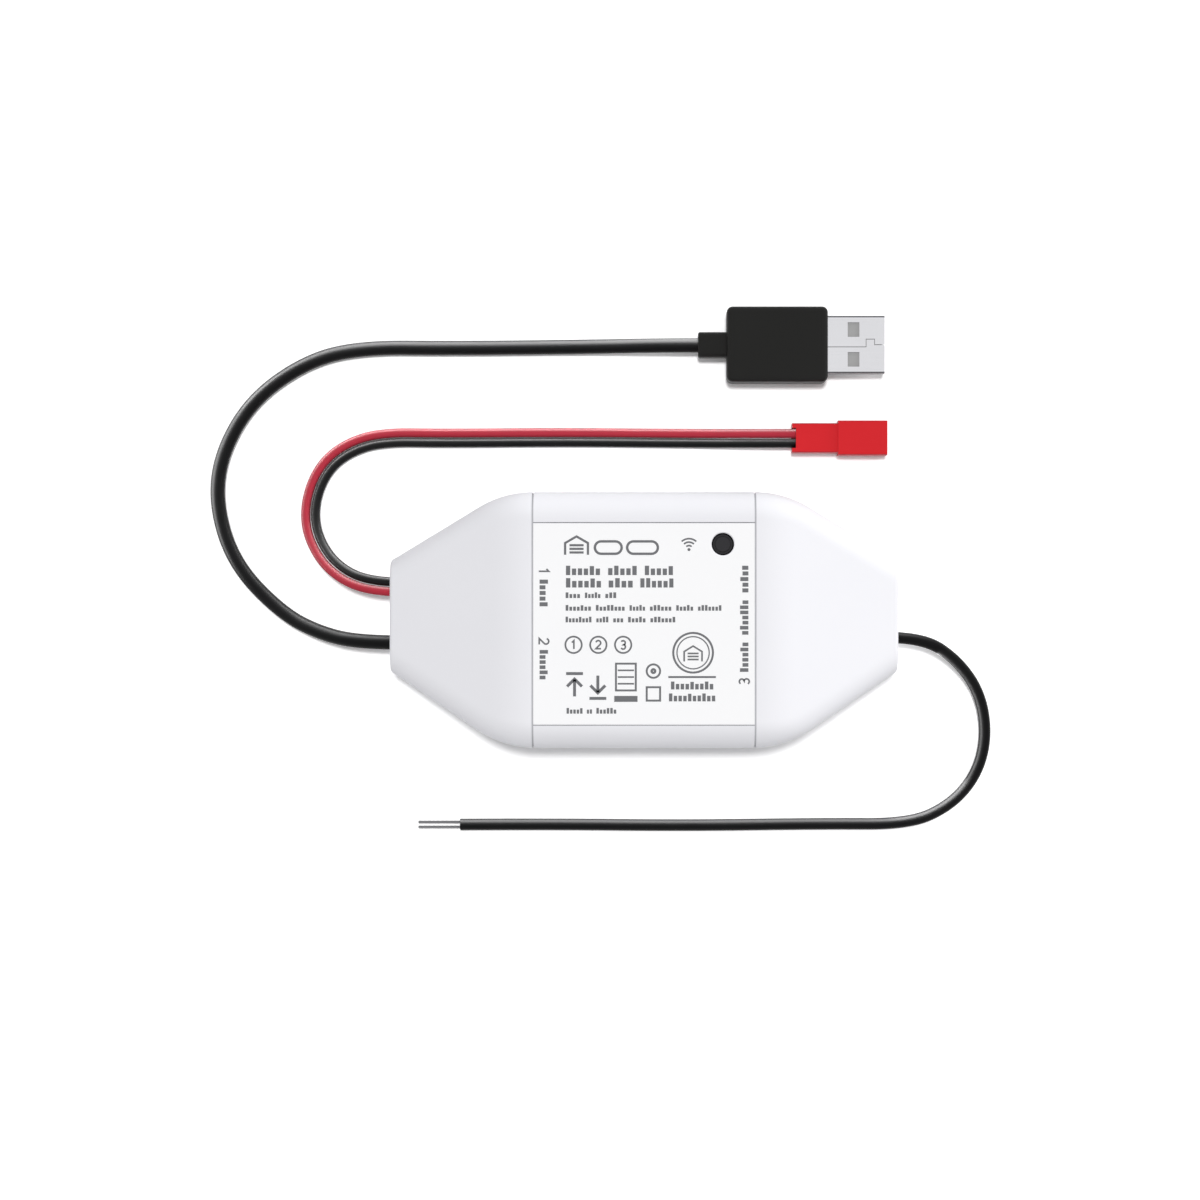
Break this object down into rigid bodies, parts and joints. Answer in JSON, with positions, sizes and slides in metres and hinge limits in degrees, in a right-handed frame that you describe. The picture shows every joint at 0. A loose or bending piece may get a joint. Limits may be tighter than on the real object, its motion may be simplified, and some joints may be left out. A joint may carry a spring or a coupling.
{
  "type": "garage door controller",
  "caption": "White plastic case with tapered ends, a label panel and a black push button, with a USB power cord, a sensor lead with a red connector and a bare-ended signal cord.",
  "frame": {"origin": "under the middle of the case, on the surface that its flat rear face rests on", "axes": "+X along the case towards the end with the signal cord, +Y across it towards the side with the button, +Z out of the label"},
  "size_m": [0.1625, 0.1087, 0.024],
  "materials": {
    "case_white": "satin moulded plastic, fine spark texture",
    "label_white": "satin printed sheet",
    "button_black": "satin",
    "screw_steel": "zinc plated",
    "board_green": "solder mask",
    "module_black": "dark solder mask",
    "shield_steel": "tinned sheet",
    "antenna_gold": "gold flash",
    "relay_blue": "moulded",
    "relay_grey": "potted",
    "tinned_metal": "tin plated",
    "capacitor_sleeve": "shrink sleeve",
    "chip_black": "moulded epoxy",
    "chip_tan": "ceramic",
    "led_white": "clear over phosphor",
    "clear_rod": "polished clear acrylic",
    "switch_black": "moulded",
    "header_cream": "moulded nylon",
    "collar_black": "moulded",
    "jacket_black": "glossy extruded jacket",
    "wire_red": "glossy extruded insulation",
    "wire_black": "glossy extruded insulation",
    "plug_black": "satin moulded",
    "plug_steel": "nickel plated",
    "insulator_white": "moulded",
    "connector_red": "moulded",
    "conductor_tin": "tinned copper"
  },
  "bodies": {
    "case": {"rear_shell": "case_white", "centre_cover": "case_white", "left_end_cap": "case_white", "right_end_cap": "case_white", "face_label": "label_white", "case_screws": "screw_steel", "board_screws": "screw_steel", "circuit_board": "board_green", "module_board": "module_black", "module_shield": "shield_steel", "module_antenna": "antenna_gold", "relay_base": "relay_grey", "relay_case": "relay_blue", "relay_pins": "tinned_metal", "bulk_capacitor": "capacitor_sleeve", "capacitor_leads": "tinned_metal", "voltage_regulator": "chip_black", "regulator_tabs": "tinned_metal", "driver_transistor": "chip_black", "flyback_diode": "chip_black", "chip_capacitors": "chip_tan", "chip_resistors": "chip_black", "status_led": "led_white", "light_guide": "clear_rod", "switch_base": "switch_black", "switch_cover": "tinned_metal", "switch_legs": "tinned_metal", "header_pins": "tinned_metal", "power_header": "header_cream", "sensor_header": "header_cream", "signal_header": "header_cream", "power_lead_plug": "header_cream", "sensor_lead_plug": "header_cream", "signal_lead_plug": "header_cream", "power_collar": "collar_black", "sensor_collar": "collar_black", "signal_collar": "collar_black", "power_lead_positive": "wire_red", "power_lead_negative": "wire_black", "sensor_lead_positive": "wire_red", "sensor_lead_negative": "wire_black", "signal_lead_positive": "wire_red", "signal_lead_negative": "wire_black", "power_cord": "jacket_black", "usb_strain_relief": "plug_black", "usb_overmould": "plug_black", "usb_shell": "plug_steel", "usb_tongue": "insulator_white", "usb_contacts": "antenna_gold", "sensor_wire_red": "wire_red", "sensor_wire_black": "wire_black", "sensor_connector_housing": "connector_red", "sensor_connector_pins": "tinned_metal", "signal_cord": "jacket_black", "signal_conductors": "conductor_tin"},
    "button": {"button_cap": "button_black"},
    "plunger": {"switch_plunger": "switch_black"}
  },
  "joints": [
    {"name": "button_press", "type": "slide", "parent": "case", "child": "button", "axis": [0, 0, -1], "range_m": [0, 0.0003], "stiffness_N_per_m": 2000},
    {"name": "plunger_press", "type": "slide", "parent": "case", "child": "plunger", "axis": [0, 0, -1], "range_m": [0, 0.0003]}
  ],
  "couplings": [
    {"joint": "plunger_press", "follows": "button_press", "ratio": 1}
  ]
}
